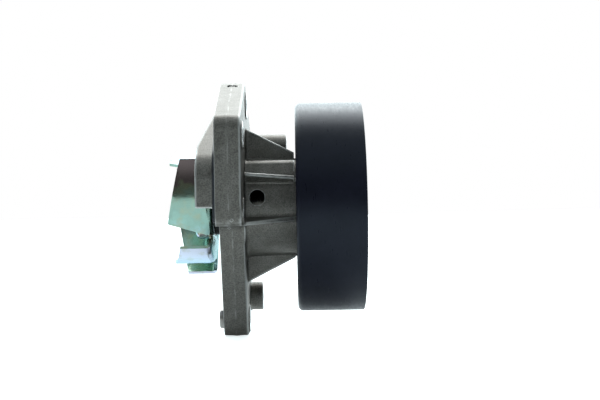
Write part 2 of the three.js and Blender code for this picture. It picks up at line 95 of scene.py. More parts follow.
LOWER_BOSS_R, LOWER_BOSS_END = 7.2, 18.5
NOSE_ROOT_R, NOSE_END_R, NOSE_END = 23.6, 22.3, 46.0
RIB_END, RIB_OVER = 35.6, 1.2  # the ribs are cast longer by this and then faced
RIBS = [  # (angle from -Y upwards, height at the flange, height at the nose, thickness)
    (90, 38.9, 26.8, 4.0),
    (147, 33.0, 25.0, 3.0),
    (193, 33.0, 25.0, 3.0),
    (270, 36.5, 24.6, 4.0),
    (347, 33.0, 24.0, 3.0),
    (33, 30.0, 26.4, 3.0),
]
SHOULDER = [(0, 15), (0, 22.8), (-12.6, 22.6), (-14.6, 21.4), (-17.8, 15)]  # (y, z) beside the top rib
WALL_HIGH, WALL_IN_R, WALL_NEAR_Y = 9.3, 36.5, -42.0
WALL_LOW_Z, WALL_KNEE_Z, WALL_TOP_Z, WALL_FAR = 0.4, 21.0, 46.0, math.radians(6)
KNEE_R = 15.0  # of the rounded knee between the wall's near side and its slanted top
STEP_HIGH, STEP_NEAR_Y, STEP_LOW_Z, STEP_OUT_R, STEP_IN_R = 1.2, -44.8, -6.0, 47.0, 35.0  # round its root
RAMP_LOW_Z, RAMP_RUN = 29.0, 26.3
WEEP_X, WEEP_Z, WEEP_R = 18.1, 4.9, 3.7
BORE_R = 15.1
SEAL_SEAT_X, SEAL_SEAT_R = 3.0, 18.0
SEAL_RECESS_DEEP, SEAL_RECESS_R = 1.5, 20.0
GROOVE_FROM, GROOVE_TO, GROOVE_R = 14.5, 21.3, 17.2  # round the bore, under the weep hole
GATE_PITS = [(4.4, 0.75), (5.6, 0.5), (6.7, 0.5), (7.7, 0.62), (8.5, 0.42)]  # (x, radius) on the top ear
GATE_Y, GATE_Z, GATE_TILT = -1.7, 59.6, 23.2

DOWEL_R, DOWEL_BORE_R, DOWEL_DEEP = 4.75, 3.5, 6.0
SHAFT_R = 8.0
PRESS_GAP = 0.06

RIM_R = 50.6
SHEET = 2.6  # the pulley's sheet
HAT_R, HAT_END, HUB_HOLE_R = 24.4, 53.5, 11.3
HUB_SPIGOT_R, HUB_FLANGE_R, HUB_BOSS_R, HUB_FLANGE_END = 11.0, 15.0, 12.5, 59.0
WINDOW_R, WINDOW_RING, WINDOWS = 7.0, 37.5, 6

VANE_TURNS = [math.radians(a) for a in (0, 72, 144, 212, 281)]  # uneven, which keeps a pump quiet
VANE_SHEET = 1.5
DISC_FRONT = -3.3
VANE_OUTER_R, VANE_APOTHEM, VANE_BULGE = 33.0, 23.3, 4.2
ROOT_T, EDGE_T = -11.8, -6.7  # where a vane starts, at the disc and at its free edge
TIP_X, INNER_X = -17.9, -23.7  # its free edge at the tip and at the inner end
TIP_T = math.sqrt(VANE_OUTER_R**2 - VANE_APOTHEM**2)
BEND_R = 1.95  # of the middle of the sheet
IMP_HAT_R, IMP_HAT_END, IMP_HOLE_R = 14.8, -12.6, 8.6
BALANCE_R, BALANCE_RING = 2.0, 18.2
BALANCE_AFTER = math.radians(29)  # from each vane to its balance hole

# ------------------------------------------------------------------------------------------------
# Mesh tools
# ------------------------------------------------------------------------------------------------


def new_object(bm, name):
    """An object holding a bmesh, with its faces pointing out."""
    bmesh.ops.recalc_face_normals(bm, faces=bm.faces)
    mesh = bpy.data.meshes.new(name)
    bm.to_mesh(mesh)
    bm.free()
    obj = bpy.data.objects.new(name, mesh)
    bpy.context.scene.collection.objects.link(obj)
    return obj


def turned(profile, segments=96):
    """A closed profile of (x, radius) points turned about the shaft axis."""
    bm = bmesh.new()
    angles = [2 * math.pi * i / segments for i in range(segments)]
    rings = []
    for x, r in profile:
        if r < 1e-6:
            rings.append([bm.verts.new((x, 0, 0))] * segments)
        else:
            rings.append([bm.verts.new((x, r * math.cos(a), r * math.sin(a))) for a in angles])
    pairs = list(zip(rings, rings[1:]))
    if profile[0][1] > 1e-6:
        pairs.append((rings[-1], rings[0]))
    for one, two in pairs:
        for i in range(segments):
            j = (i + 1) % segments
            corners = list(dict.fromkeys((one[i], one[j], two[j], two[i])))
            if len(corners) > 2:
                bm.faces.new(corners)
    return bm


def loft(layers):
    """A solid through (x, outline) layers; an outline is a list of (y, z) points, as many in each."""
    bm = bmesh.new()
    rings = [[bm.verts.new((x, y, z)) for y, z in outline] for x, outline in layers]
    for one, two in zip(rings, rings[1:]):
        for i in range(len(one)):
            j = (i + 1) % len(one)
            bm.faces.new((one[i], one[j], two[j], two[i]))
    bm.faces.new(rings[0])
    bm.faces.new(rings[-1])
    return bm


def bar(at, r, from_x, to_x, segments=64, lean=0.0):
    """A round bar along X; its far end is smaller by lean."""
    outline = [arc_points(at, radius, 0, 2 * math.pi, segments)[:-1] for radius in (r, r - lean)]
    return loft([(from_x, outline[0]), (to_x, outline[1])])


def arc_points(centre, r, start, end, steps):
    """Points of an arc in the Y-Z plane, both ends included."""
    return [
        (centre[0] + r * math.cos(a), centre[1] + r * math.sin(a))
        for a in (start + (end - start) * i / steps for i in range(steps + 1))
    ]


def profile_arc(x, r, radius, start, end, steps=6):
    """Points of an arc in a profile; angles in degrees from +X towards a larger radius."""
    return arc_points((x, r), radius, math.radians(start), math.radians(end), steps)


def wrap_angle(a, b):
    """The angle of the outward normal of the line that wraps two discs, going counter-clockwise."""
    along = math.atan2(b[1] - a[1], b[0] - a[0])
    return along - math.pi / 2 + math.asin((a[2] - b[2]) / math.dist(a[:2], b[:2]))


def wrap_discs(discs, start, end, steps=14):
    """The arcs that wrap a row of (y, z, r) discs counter-clockwise; straight lines join them."""
    points = []
    for i, disc in enumerate(discs):
        first = start if i == 0 else wrap_angle(discs[i - 1], disc)
        last = end if i == len(discs) - 1 else wrap_angle(disc, discs[i + 1])
        while last < first:
            last += 2 * math.pi
        points += arc_points(disc[:2], disc[2], first, last, steps)
    return points


def joined(parts, name):
    """One object holding several bmeshes, which may overlap."""
    bm = bmesh.new()
    for part in parts:
        mesh = bpy.data.meshes.new("part")
        bmesh.ops.recalc_face_normals(part, faces=part.faces)
        part.to_mesh(mesh)
        part.free()
        bm.from_mesh(mesh)
        bpy.data.meshes.remove(mesh)
    mesh = bpy.data.meshes.new(name)
    bm.to_mesh(mesh)
    bm.free()
    obj = bpy.data.objects.new(name, mesh)
    bpy.context.scene.collection.objects.link(obj)
    return obj


def apply_modifiers(obj):
    graph = bpy.context.evaluated_depsgraph_get()
    mesh = bpy.data.meshes.new_from_object(obj.evaluated_get(graph))
    obj.modifiers.clear()
    obj.data = mesh


def boolean(obj, others, operation):
    """Joins objects to obj or cuts them from it, one after another."""
    for other in others:
        modifier = obj.modifiers.new("boolean", "BOOLEAN")
        modifier.operation = operation
        modifier.object = other
        modifier.solver = "MANIFOLD"
        apply_modifiers(obj)
        bpy.data.objects.remove(other)


def difference(bm, cutter):
    """What is left of one bmesh outside another."""
    body = new_object(bm, "body")
    boolean(body, [new_object(cutter, "cutter")], "DIFFERENCE")
    left = bmesh.new()
    left.from_mesh(body.data)
    bpy.data.objects.remove(body)
    return left


def rounded(obj, width, segments, angle):
    """Breaks every edge sharper than angle."""
    modifier = obj.modifiers.new("rounded", "BEVEL")
    modifier.width = width
    modifier.segments = segments
    modifier.limit_method = "ANGLE"
    modifier.angle_limit = math.radians(angle)
    modifier.use_clamp_overlap = True
    modifier.harden_normals = False
    apply_modifiers(obj)


def place(obj, name, body, nodes, materials, smooth=35):
    """Turns a finished shape into metres and hands it over in place of its CAD nodes."""
    obj.data.transform(Matrix.Scale(MM, 4))
    obj.data.polygons.foreach_set("use_smooth", [True] * len(obj.data.polygons))
    obj.data.set_sharp_from_angle(angle=math.radians(smooth))
    obj.name = name
    obj.data.name = name
    if materials:
        obj.data.materials.clear()
        for material in materials:
            obj.data.materials.append(material)
    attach(obj, body)
    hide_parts(*nodes)
    return obj


# ------------------------------------------------------------------------------------------------
# Materials
# ------------------------------------------------------------------------------------------------


def add_node(tree, kind, inputs, options):
    """A shader node; its inputs are given as values or as the outputs of other nodes."""
    made = tree.nodes.new(kind)
    for key, value in options.items():
        setattr(made, key, value)
    for key, value in inputs.items():
        if hasattr(value, "is_output"):
            tree.links.new(value, made.inputs[key])
        else:
            made.inputs[key].default_value = value
    return made


class Nodes:
    """A material's node tree, built up from its shader backwards. Lengths are in millimetres."""

    def __init__(self, name):
        self.material = bpy.data.materials.new(name)
        self.material.use_nodes = True
        self.tree = self.material.node_tree
        self.shader = self.tree.nodes["Principled BSDF"]
        self.coordinates = self.tree.nodes.new("ShaderNodeTexCoord")

    def set(self, **values):
        for name, value in values.items():
            self.shader.inputs[name.replace("_", " ")].default_value = value

    def node(self, kind, inputs=None, **options):
        return add_node(self.tree, kind, inputs or {}, options)

    def link(self, source, socket):
        self.tree.links.new(source, self.shader.inputs[socket])

    def stretched(self, scale):
        inputs = {"Vector": self.coordinates.outputs["Object"], "Scale": scale}
        return self.node("ShaderNodeMapping", inputs).outputs["Vector"]

    def noise(self, size, detail=2.0, stretch=(1, 1, 1), distortion=0.0):
        """Noise whose lumps are about size across."""
        scale = 1 / (size * MM)
        inputs = {
            "Vector": self.stretched(stretch),
            "Scale": scale,
            "Detail": detail,
            "Distortion": distortion,
        }
        return self.node("ShaderNodeTexNoise", inputs).outputs["Fac"]

    def ramp(self, value, stops):
        """Maps 0..1 to colours; stops are (position, colour) with a colour of three numbers or one."""
        made = self.node("ShaderNodeValToRGB", {"Fac": value})
        elements = made.color_ramp.elements
        while len(elements) < len(stops):
            elements.new(0.5)
        for element, (position, colour) in zip(elements, stops):
            element.position = position
            element.color = (*colour, 1) if isinstance(colour, tuple) else (colour, colour, colour, 1)
        return made.outputs["Color"]

    def mix(self, fraction, one, two):
        inputs = {"Factor": fraction, 6: one, 7: two}
        return self.node("ShaderNodeMix", inputs, data_type="RGBA").outputs[2]

    def add(self, one, two, weight=1.0):
        inputs = {0: two, 1: weight, 2: one}
        return self.node("ShaderNodeMath", inputs, operation="MULTIPLY_ADD").outputs[0]

    def bump(self, height, depth):
        """Bump of the given depth where height goes from 0 to 1."""
        inputs = {"Height": height, "Distance": depth * MM, "Strength": 1.0}
        self.link(self.node("ShaderNodeBump", inputs).outputs["Normal"], "Normal")


def cast_aluminium():
    """Shot-blasted die casting: a fine grain, a cloudy tone, a painted highlight on its edges and a faint
    parting line, painted lighter as the highlight of its ridge.
    """
    m = Nodes("cast_aluminium")
    m.set(Metallic=0.9, Roughness=0.5)
    grain = m.noise(0.55, 3)
    clouds = m.noise(6, 4)
    tone = m.ramp(clouds, [(0.3, (0.21, 0.2, 0.18)), (0.7, (0.275, 0.265, 0.245))])
    specks = m.ramp(grain, [(0.34, 0.55), (0.62, 1.0)])
    both = {"Factor": 1.0, 6: tone, 7: specks}
    grained = m.node("ShaderNodeMix", both, data_type="RGBA", blend_type="MULTIPLY")
    # painted highlight: edges that stand out (high pointiness) are painted lighter, as if they caught the
    # light
    edges = m.node("ShaderNodeNewGeometry").outputs["Pointiness"]
    edge_highlight = m.ramp(edges, [(0.507, 0.0), (0.53, 0.7), (0.555, 0.7), (0.575, 0.0)])
    highlit_tone = m.mix(edge_highlight, grained.outputs[2], (0.6, 0.61, 0.6, 1))
    # painted highlight: the parting line is painted lighter, as the light its trimmed ridge would catch
    m.link(m.mix(parting_line(m), highlit_tone, (0.42, 0.42, 0.4, 1)), "Base Color")
    m.link(m.ramp(grain, [(0.2, 0.4), (0.8, 0.58)]), "Roughness")
    m.bump(m.add(m.noise(1.6, 2), grain, 0.8), 0.07)
    return m.material


def parting_line(m):
    """How much the painted highlight of the trimmed parting line shows: a thin broken streak along the
    middle of the flange.
    """
    along = m.node("ShaderNodeSeparateXYZ", {"Vector": m.coordinates.outputs["Object"]}).outputs["X"]
    off = m.node("ShaderNodeMath", {0: along, 1: FLANGE_THICK / 2 * MM}, operation="SUBTRACT").outputs[0]
    off = m.node("ShaderNodeMath", {0: off}, operation="ABSOLUTE").outputs[0]
    fade = {"From Min": 0.1 * MM, "From Max": 0.6 * MM, "To Min": 1.0, "To Max": 0.0}
    streak = m.node("ShaderNodeMapRange", {"Value": off, **fade}).outputs[0]
    broken = m.ramp(m.noise(2.5, 3, stretch=(3, 0.6, 0.6)), [(0.46, 0.0), (0.64, 0.6)])
    return m.node("ShaderNodeMath", {0: streak, 1: broken}, operation="MULTIPLY").outputs[0]


def machined_aluminium():
    """Milled and bored faces: brighter, with fine tool marks."""
    m = Nodes("machined_aluminium")
    m.set(Metallic=1.0)
    marks = m.node(
        "ShaderNodeTexWave",
        {"Vector": m.coordinates.outputs["Object"], "Scale": 520.0, "Distortion": 1.2, "Detail": 2.0},
        wave_type="RINGS",
        rings_direction="X",
    ).outputs["Fac"]
    clouds = m.noise(4, 3)
    m.link(m.ramp(clouds, [(0.3, (0.6, 0.6, 0.59)), (0.7, (0.72, 0.72, 0.71))]), "Base Color")
    m.link(m.ramp(marks, [(0.0, 0.26), (1.0, 0.4)]), "Roughness")
    m.bump(marks, 0.012)
    return m.material


def black_coat():
    """Black electrophoretic coat on drawn steel: slightly blue, satin, with a faint orange peel."""
    m = Nodes("black_coat")
    m.set(Metallic=0.0, Roughness=0.32, IOR=1.35, Specular_Tint=(0.75, 0.88, 1.0, 1))
    clouds = m.noise(9, 4)
    m.link(m.ramp(clouds, [(0.3, (0.006, 0.006, 0.013)), (0.7, (0.009, 0.009, 0.018))]), "Base Color")
    streaks = m.noise(2.2, 3, stretch=(2.5, 0.5, 0.5))
    m.link(m.ramp(streaks, [(0.25, 0.26), (0.75, 0.38)]), "Roughness")
    m.bump(m.noise(0.7, 2), 0.008)
    return m.material


def zinc_plate():
    """Zinc with a clear passivate whose colours vary at random, plus a painted reflection that shifts them
    with how and where each face lies.
    """
    m = Nodes("zinc_plate")
    m.set(Metallic=1.0, Specular_Tint=(0.5, 0.72, 0.78, 1))
    # painted reflection: the colour shifts with which way a face points (up or down) and with its height,
    # standing in for what the vanes reflect
    facing = m.node("ShaderNodeSeparateXYZ", {"Vector": m.coordinates.outputs["Normal"]}).outputs["Z"]
    height = m.node("ShaderNodeSeparateXYZ", {"Vector": m.coordinates.outputs["Object"]}).outputs["Z"]
    film_and_reflection = m.add(m.noise(9, 3, distortion=0.4), m.noise(2.5, 4), 0.5)
    film_and_reflection = m.add(film_and_reflection, facing, 1.6)
    film_and_reflection = m.add(film_and_reflection, height, 40)
    film_and_reflection = m.node("ShaderNodeMapRange", {"Value": film_and_reflection, "From Min": -1.35, "From Max": 3.65}).outputs[0]
    # the dark brown band is a painted reflection of dark surroundings, and the teal and pale stops are
    # painted reflections of bright ones; the noise moves the passivate's own colours
    colours = m.ramp(
        film_and_reflection,
        [
            (0.0, (0.76, 0.78, 0.92)),
            (0.08, (0.74, 0.74, 0.88)),
            (0.15, (0.48, 0.74, 0.76)),
            (0.27, (0.36, 0.57, 0.5)),
            (0.36, (0.3, 0.46, 0.4)),
            (0.44, (0.34, 0.5, 0.42)),
            (0.53, (0.34, 0.38, 0.27)),
            (0.565, (0.27, 0.21, 0.2)),
            (0.78, (0.23, 0.18, 0.18)),
            (0.86, (0.56, 0.72, 0.78)),
            (1.0, (0.62, 0.8, 0.85)),
        ],
    )
    patches = m.ramp(m.noise(5, 4), [(0.5, 0.0), (0.68, 0.45)])
    # keeps the olive patches off the dark painted reflection band
    thin = m.ramp(film_and_reflection, [(0.2, 1.0), (0.55, 1.0), (0.57, 0.0)])
    olive = m.node("ShaderNodeMath", {0: patches, 1: thin}, operation="MULTIPLY").outputs[0]
    m.link(m.mix(olive, colours, (0.46, 0.47, 0.3, 1)), "Base Color")
    scuffs = m.noise(1.4, 4, stretch=(0.6, 2, 2))
    m.link(m.ramp(scuffs, [(0.3, 0.1), (0.75, 0.2)]), "Roughness")
    m.bump(m.noise(0.9, 3), 0.004)
    return m.material


def turned_steel():
    """Ground or turned steel with fine rings round the axis."""
    m = Nodes("turned_steel")
    m.set(Metallic=1.0)
    rings = m.noise(0.5, 3, stretch=(1.6, 0.05, 0.05))
    stain = m.noise(5, 4)
    m.link(m.ramp(stain, [(0.35, (0.36, 0.33, 0.3)), (0.7, (0.5, 0.48, 0.46))]), "Base Color")
    m.link(m.ramp(rings, [(0.2, 0.22), (0.8, 0.36)]), "Roughness")
    m.bump(rings, 0.006)
    return m.material


def soft_black(name, dark, light, roughness, grain):
    """Black rubber; also the near-black painted shade on the step round the wall."""
    m = Nodes(name)
    m.set(Metallic=0.0)
    m.link(m.ramp(m.noise(3, 4), [(0.3, dark), (0.7, light)]), "Base Color")
    m.link(m.ramp(m.noise(grain * 3, 3), [(0.3, roughness - 0.08), (0.7, roughness + 0.08)]), "Roughness")
    m.bump(m.noise(grain, 2), 0.012)
    return m.material


def plain_solid(name, dark, light, roughness, metallic, size=2.0):
    """Any other solid: cloudy colour, uneven gloss and a fine bump."""
    m = Nodes(name)
    m.set(Metallic=metallic)
    m.link(m.ramp(m.noise(size, 4), [(0.3, dark), (0.7, light)]), "Base Color")
    m.link(m.ramp(m.noise(size / 2, 3), [(0.3, roughness - 0.07), (0.7, roughness + 0.07)]), "Roughness")
    m.bump(m.noise(0.4, 2), 0.006)
    return m.material


CAST = cast_aluminium()
# painted shade: the step round the wall is coloured near black, standing in for the shade in the gap
# between the ear and the wall
STEP_SHADE = soft_black("step_painted_shade", (0.012, 0.014, 0.02), (0.02, 0.023, 0.032), 0.4, 0.5)
BROKEN = plain_solid("broken_gate", (0.03, 0.028, 0.026), (0.06, 0.055, 0.05), 0.7, 0.3)
MACHINED = machined_aluminium()
COAT = black_coat()
ZINC = zinc_plate()
STEEL = turned_steel()
RUBBER = soft_black("seal_rubber", (0.012, 0.012, 0.012), (0.028, 0.028, 0.027), 0.6, 0.5)
POLYMER = plain_solid("cage_polymer", (0.04, 0.06, 0.035), (0.07, 0.1, 0.06), 0.45, 0.0)
BRASS = plain_solid("seal_brass", (0.5, 0.34, 0.12), (0.66, 0.47, 0.19), 0.3, 1.0)
CARBON = plain_solid("seal_carbon", (0.014, 0.014, 0.016), (0.03, 0.03, 0.032), 0.38, 0.0, 1.0)
CERAMIC = plain_solid("seal_ceramic", (0.62, 0.58, 0.5), (0.72, 0.69, 0.62), 0.25, 0.0)

# ------------------------------------------------------------------------------------------------
# Housing
# ------------------------------------------------------------------------------------------------


def flange_outline(inset):
    """The rim, moved inwards by inset. A straight leg runs from the boss round the shaft to the foot."""
    foot = EARS["foot"]
    leg = wrap_angle((0, 0, BOSS_R), foot) % (2 * math.pi)
    points = wrap_discs([(y, z, r - inset) for y, z, r in EARS.values()], leg, 1.5 * math.pi)
    r = EAR_FILLET + inset
    z = EARS["near_low"][1] - EARS["near_low"][2] - EAR_FILLET
    y = (BOSS_R + EAR_FILLET - z * math.sin(leg)) / math.cos(leg)
    return points + arc_points((y, z), r, math.pi / 2, leg - math.pi, 12)


def rim():
    """The flange with draft on both sides of a trimmed parting line."""
    middle = FLANGE_THICK / 2
    band = 1.0
    layers = [
        (-FACE_STOCK, DRAFT),
        (middle - band, 0.0),
        (middle - band, -FLASH),
        (middle + band, -FLASH),
        (middle + band, 0.0),
        (FLANGE_THICK, DRAFT),
    ]
    return loft([(x, flange_outline(inset)) for x, inset in layers])


def knee(near_y, knee_z, top_z, r):
    """The rounded corner between an upright near side and the slope to (0, top_z)."""
    slope = math.atan((top_z - knee_z) / -near_y)
    turn = math.pi / 2 - slope
    centre = (near_y + r, knee_z - r * math.tan(turn / 2))
    return arc_points(centre, r, math.pi, math.pi / 2 + slope, 16)


def wall_outline(gap=0.0):
    near = math.pi - math.asin(WALL_LOW_Z / WALL_IN_R)
    points = [(WALL_NEAR_Y - gap, WALL_LOW_Z - gap)]
    points += knee(WALL_NEAR_Y - gap, WALL_KNEE_Z + gap / 2, WALL_TOP_Z + gap, KNEE_R)
    points += arc_points((0, 0), WALL_TOP_Z + gap, math.pi / 2, WALL_FAR, 40)
    points += arc_points((0, 0), WALL_IN_R - gap, WALL_FAR, near, 64)
    return points


def step_outline(gap=0.0):
    """A low step round the root of the wall, which reaches lower than the wall on the near side."""
    low, corner, knee_z = STEP_LOW_Z, 2.0, WALL_KNEE_Z + 1.6
    near = math.pi + math.asin(-low / STEP_IN_R)
    points = [(-STEP_IN_R - gap, low - gap), (STEP_NEAR_Y + corner, low - gap)]
    points += arc_points((STEP_NEAR_Y + corner, low + corner), corner + gap, 1.5 * math.pi, math.pi, 6)
    points += knee(STEP_NEAR_Y - gap, knee_z, STEP_OUT_R + gap, KNEE_R)
    points += arc_points((0, 0), STEP_OUT_R + gap, math.pi / 2, WALL_FAR, 40)
    return points + arc_points((0, 0), STEP_IN_R - gap, WALL_FAR, near, 64)


def volute_wall():
    """The wall round the top of the impeller, cut down to a ramp towards its top."""
    wall = loft([(-WALL_HIGH, wall_outline()), (FLANGE_THICK / 2, wall_outline())])
    over = 4.0
    slope = RAMP_RUN / WALL_HIGH
    side = [
        (-WALL_HIGH - over, RAMP_LOW_Z - slope * over),
        (over, RAMP_LOW_Z + RAMP_RUN + slope * over),
        (-WALL_HIGH - over, RAMP_LOW_Z + RAMP_RUN + slope * over),
    ]
    return difference(wall, slab_of(side, 2 * WALL_TOP_Z, 2 * WALL_TOP_Z))


def slab_of(side, half_low, half_high):
    """A slab along Y from an outline of (x, z) points; its thickness may change from low to high z."""
    bm = bmesh.new()
    low = min(z for _, z in side)
    high = max(z for _, z in side)
    ends = []
    for sign in (-1, 1):
        line = []
        for x, z in side:
            half = half_low + (half_high - half_low) * (z - low) / (high - low)
            line.append(bm.verts.new((x, sign * half, z)))
        ends.append(line)
    for i in range(len(side)):
        j = (i + 1) % len(side)
        bm.faces.new((ends[0][i], ends[0][j], ends[1][j], ends[1][i]))
    bm.faces.new(ends[0])
    bm.faces.new(ends[1])
    return bm


def rib(angle, at_flange, at_nose, thick):
    """A rib that thins outwards and runs a little past where it's faced off."""
    root = BORE_R + 2
    beyond = at_nose - RIB_OVER * (at_flange - at_nose) / (RIB_END - FLANGE_THICK)
    side = [
        (FLANGE_THICK / 2, root),
        (RIB_END + RIB_OVER, root),
        (RIB_END + RIB_OVER, beyond),
        (FLANGE_THICK, at_flange),
        (FLANGE_THICK / 2, at_flange),
    ]
    bm = slab_of(side, thick / 2, thick / 2 - 0.7)
    bmesh.ops.rotate(bm, verts=bm.verts, matrix=Matrix.Rotation(math.radians(90 - angle), 3, "X"))
    return bm


def nose():
    fillet = 1.4
    inside = NOSE_ROOT_R - 0.3
    return turned(
        [
            (FLANGE_THICK / 2, 0),
            (FLANGE_THICK / 2, inside),
            (FLANGE_THICK - 0.6, inside),
            (FLANGE_THICK, NOSE_ROOT_R + fillet),
            *profile_arc(FLANGE_THICK + fillet, NOSE_ROOT_R + fillet, fillet, 180, 270, 5)[1:],
            (NOSE_END + 1, NOSE_END_R),
            (NOSE_END + 1, 0),
        ]
    )


def casting_blank():
    """The casting before machining, with fillets and rounded edges all over."""
    step = loft([(-STEP_HIGH, step_outline()), (FLANGE_THICK / 2, step_outline())])
    parts = [rim(), volute_wall(), step, nose()]
    parts += [rib(*one) for one in RIBS]
    parts.append(loft([(FLANGE_THICK / 2, SHOULDER), (RIB_END + RIB_OVER, SHOULDER)]))
    parts.append(bar(EARS["far"], FAR_BOSS_R, FLANGE_THICK / 2, FAR_BOSS_END + 1, lean=0.15))
    parts.append(bar(EARS["lower"], LOWER_BOSS_R, FLANGE_THICK / 2, LOWER_BOSS_END + 1))
    for name in ("near_top", "near_low", "top", "foot"):
        parts.append(bar(BOLT_HOLES[name], PAD_R, FLANGE_THICK / 2, PAD_TOP + 1))
    blank = joined(parts, "pump_body")
    remesh = blank.modifiers.new("skin", "REMESH")
    remesh.mode = "VOXEL"
    remesh.voxel_size = 0.45
    soften = blank.modifiers.new("soften", "SMOOTH")
    soften.factor = 0.5
    soften.iterations = 12
    apply_modifiers(blank)
    return blank


def countersunk(at, r, ends, chamfer=0.4):
    """A drill for a hole along X from ends[0] to ends[1], chamfered at both."""
    low, high = ends
    over = 1.5
    layers = [
        (low - over, r + chamfer + over),
        (low + chamfer, r),
        (high - chamfer, r),
        (high + over, r + chamfer + over),
    ]
    return loft([(x, arc_points(at, radius, 0, 2 * math.pi, 48)[:-1]) for x, radius in layers])


def bores():
    """The stepped bore for the seal and the bearing, with the weep groove between them."""
    return turned(
        [
            (-2, 0),
            (-2, SEAL_RECESS_R),
            (SEAL_RECESS_DEEP, SEAL_RECESS_R),
            (SEAL_RECESS_DEEP, SEAL_SEAT_R),
            (SEAL_SEAT_X, SEAL_SEAT_R),
            (SEAL_SEAT_X, BORE_R),
            (GROOVE_FROM, BORE_R),
            (GROOVE_FROM, GROOVE_R),
            (GROOVE_TO, GROOVE_R),
            (GROOVE_TO, BORE_R),
            (NOSE_END - 0.8, BORE_R),
            (NOSE_END + 2, BORE_R + 2.8),
            (NOSE_END + 2, 0),
        ],
        128,
    )


def face_mill():
    """Takes the stock off the engine face and leaves the wall standing."""
    far = 90.0
    square = [(-far, -far), (far, -far), (far, far), (-far, far)]
    slab = loft([(-FACE_STOCK - 1, square), (0, square)])
    island = loft([(-FACE_STOCK - 2, step_outline(0.25)), (1, step_outline(0.25))])
    return new_object(difference(slab, island), "face_mill")


def facing_ring(x, inner_r):
    """Takes off what stands beyond x outside a radius."""
    outer_r, deep = 40, 4
    return turned([(x, inner_r), (x, outer_r), (x + deep, outer_r), (x + deep, inner_r)])


def weep_drill():
    """A level drill from the near side into the groove."""
    bm = bar((0, 0), WEEP_R, 0, 16, 40)
    bmesh.ops.rotate(bm, verts=bm.verts, matrix=Matrix.Rotation(math.radians(-90), 3, "Z"))
    bmesh.ops.translate(bm, verts=bm.verts, vec=(WEEP_X, -BORE_R + 0.5, WEEP_Z))
    return bm


def gate_scar():
    """The broken stub where the metal ran in, on the near side of the top ear: a row of small pits."""
    pits = []
    for x, size in GATE_PITS:
        bm = bmesh.new()
        spot = Matrix.Translation((x, GATE_Y, GATE_Z)) @ Matrix.Rotation(math.radians(GATE_TILT), 4, "X")
        spot = spot @ Matrix.Diagonal((1.1, 2.0, 1.0, 1))
        bmesh.ops.create_icosphere(bm, subdivisions=3, radius=size, matrix=spot)
        pits.append(new_object(bm, "pit"))
    return pits


def in_gate_scar(x, y, z):
    tilt = math.radians(GATE_TILT)
    along = (y - GATE_Y) * math.cos(tilt) + (z - GATE_Z) * math.sin(tilt)
    above = (z - GATE_Z) * math.cos(tilt) - (y - GATE_Y) * math.sin(tilt)
    in_a_pit = any(math.hypot((x - at) / 1.2, along / 2.1) < size for at, size in GATE_PITS)
    return abs(above) < 1.0 and in_a_pit


def housing():
    body = casting_blank()
    cutters = [face_mill()]
    ends = {"far": FAR_BOSS_END, "lower": LOWER_BOSS_END}
    for name, hole in BOLT_HOLES.items():
        top = ends.get(name, PAD_TOP)
        around = FAR_BOSS_R + 1.5
        cutters.append(new_object(bar(hole, around, top, top + 3), "facing"))
        cutters.append(new_object(countersunk(hole, BOLT_HOLE_R, (0, top)), "drill"))
        cutters.append(new_object(bar(hole, BOLT_HOLE_R, -WALL_HIGH - 1, 0.2), "bolt_path"))
    for name in ("foot", "far"):
        cutters.append(new_object(bar(EARS[name][:2], DOWEL_R + 0.1, -1, DOWEL_DEEP + 0.2), "dowel_bore"))
    cutters.append(new_object(facing_ring(NOSE_END, 0), "nose_facing"))
    cutters.append(new_object(facing_ring(RIB_END, NOSE_END_R + 1.6), "rib_facing"))
    cutters += [new_object(bores(), "bores"), new_object(weep_drill(), "weep"), *gate_scar()]
    boolean(body, cutters, "DIFFERENCE")
    mark_machined(body)
    return place(body, "pump_body", "housing", ["pump_housing"], [], smooth=50)


def mark_machined(body):
    """Gives cut planes and bores the machined material, and paints the step round the wall near black as
    painted shade.
    """
    body.data.materials.clear()
    for material in (CAST, MACHINED, STEP_SHADE, BROKEN):
        body.data.materials.append(material)
    planes = (0.0, PAD_TOP, FAR_BOSS_END, LOWER_BOSS_END, NOSE_END)
    for face in body.data.polygons:
        x, y, z = face.center
        flat = abs(face.normal.x) > 0.9995 and any(abs(x - plane) < 0.003 for plane in planes)
        bored = math.hypot(y, z) < BORE_R + 0.05
        hole = any(math.dist((y, z), at) < BOLT_HOLE_R + 0.5 for at in BOLT_HOLES.values())
        face.material_index = 0
        if flat or bored or hole:
            face.material_index = 1
        # painted shade: faces of the step round the wall get the near-black material
        elif -STEP_HIGH - 0.1 < x < -0.03:
            face.material_index = 2
        elif in_gate_scar(x, y, z):
            face.material_index = 3


# ------------------------------------------------------------------------------------------------
# Dowels
# ------------------------------------------------------------------------------------------------


def ring_dowel(name):
    low, high = box_mm(name)
    centre = (low + high) / 2
    chamfer = 0.5
    profile = [
        (low.x, DOWEL_BORE_R + 0.3),
        (low.x, DOWEL_R - chamfer),
        (low.x + chamfer, DOWEL_R),
        (high.x - chamfer, DOWEL_R),
        (high.x, DOWEL_R - chamfer),
        (high.x, DOWEL_BORE_R + 0.3),
        (high.x - 0.3, DOWEL_BORE_R),
        (low.x + 0.3, DOWEL_BORE_R),
    ]
    bm = turned(profile, 64)
    bmesh.ops.translate(bm, verts=bm.verts, vec=(0, centre.y, centre.z))
    ring = new_object(bm, name)
    return place(ring, f"{name}_ring", "housing", [name], [STEEL])


# ------------------------------------------------------------------------------------------------
# Pulley, hub and shaft
# ------------------------------------------------------------------------------------------------


